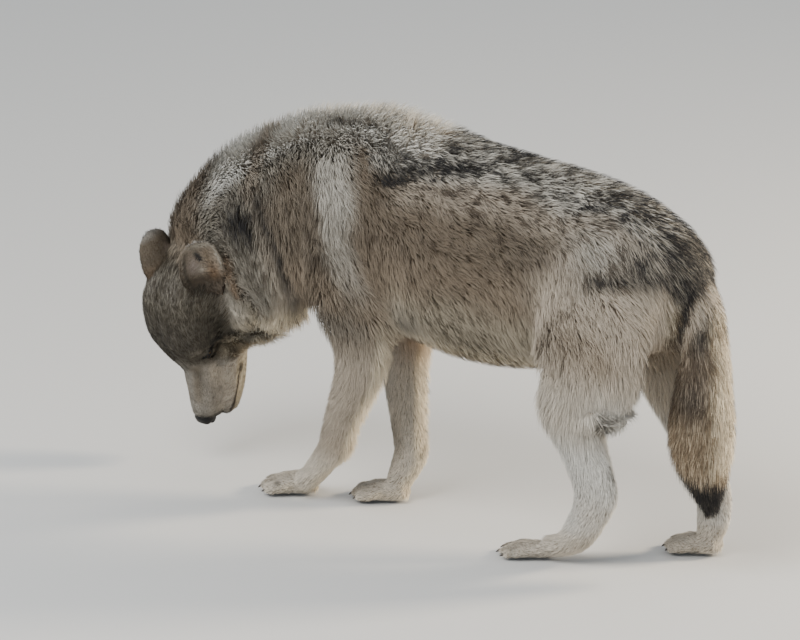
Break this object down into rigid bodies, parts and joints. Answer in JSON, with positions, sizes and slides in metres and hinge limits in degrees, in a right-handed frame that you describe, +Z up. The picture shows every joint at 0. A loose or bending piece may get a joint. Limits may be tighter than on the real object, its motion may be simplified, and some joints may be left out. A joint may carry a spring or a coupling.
{
  "type": "grey wolf figure",
  "caption": "Life-size still model of a grey wolf standing with its neck lowered and its nose close to the ground.",
  "frame": {"origin": "middle of the box round the whole wolf, at the level of the floor under its paws", "axes": "+Z up, the wolf's body points towards -Y with its tail towards +Y, and its left side is towards +X"},
  "size_m": [0.3326, 1.339, 0.8071],
  "materials": {
    "coat_grey": "fur, matte",
    "coat_pale": "fur, matte",
    "coat_dark": "fur, matte",
    "nose": "moist, grained",
    "claw": "horn",
    "eye": "wet gloss"
  },
  "bodies": {
    "root": {"belly": "coat_grey", "chest": "coat_grey", "claw_fore_left_1": "claw", "claw_fore_left_2": "claw", "claw_fore_left_3": "claw", "claw_fore_left_4": "claw", "claw_fore_right_1": "claw", "claw_fore_right_2": "claw", "claw_fore_right_3": "claw", "claw_fore_right_4": "claw", "claw_hind_left_1": "claw", "claw_hind_left_2": "claw", "claw_hind_left_3": "claw", "claw_hind_left_4": "claw", "claw_hind_right_1": "claw", "claw_hind_right_2": "claw", "claw_hind_right_3": "claw", "claw_hind_right_4": "claw", "ear_left": "coat_grey", "ear_right": "coat_grey", "eye_left": "eye", "eye_right": "eye", "foreleg_left": "coat_pale", "foreleg_right": "coat_pale", "head": "coat_grey", "hindleg_left": "coat_pale", "hindleg_right": "coat_pale", "hock_left": "coat_pale", "hock_right": "coat_pale", "jaw": "coat_pale", "neck": "coat_grey", "nose": "nose", "paw_fore_left": "coat_pale", "paw_fore_right": "coat_pale", "paw_hind_left": "coat_pale", "paw_hind_right": "coat_pale", "rump": "coat_grey", "tail": "coat_grey", "tail_tip": "coat_dark"}
  },
  "joints": []
}
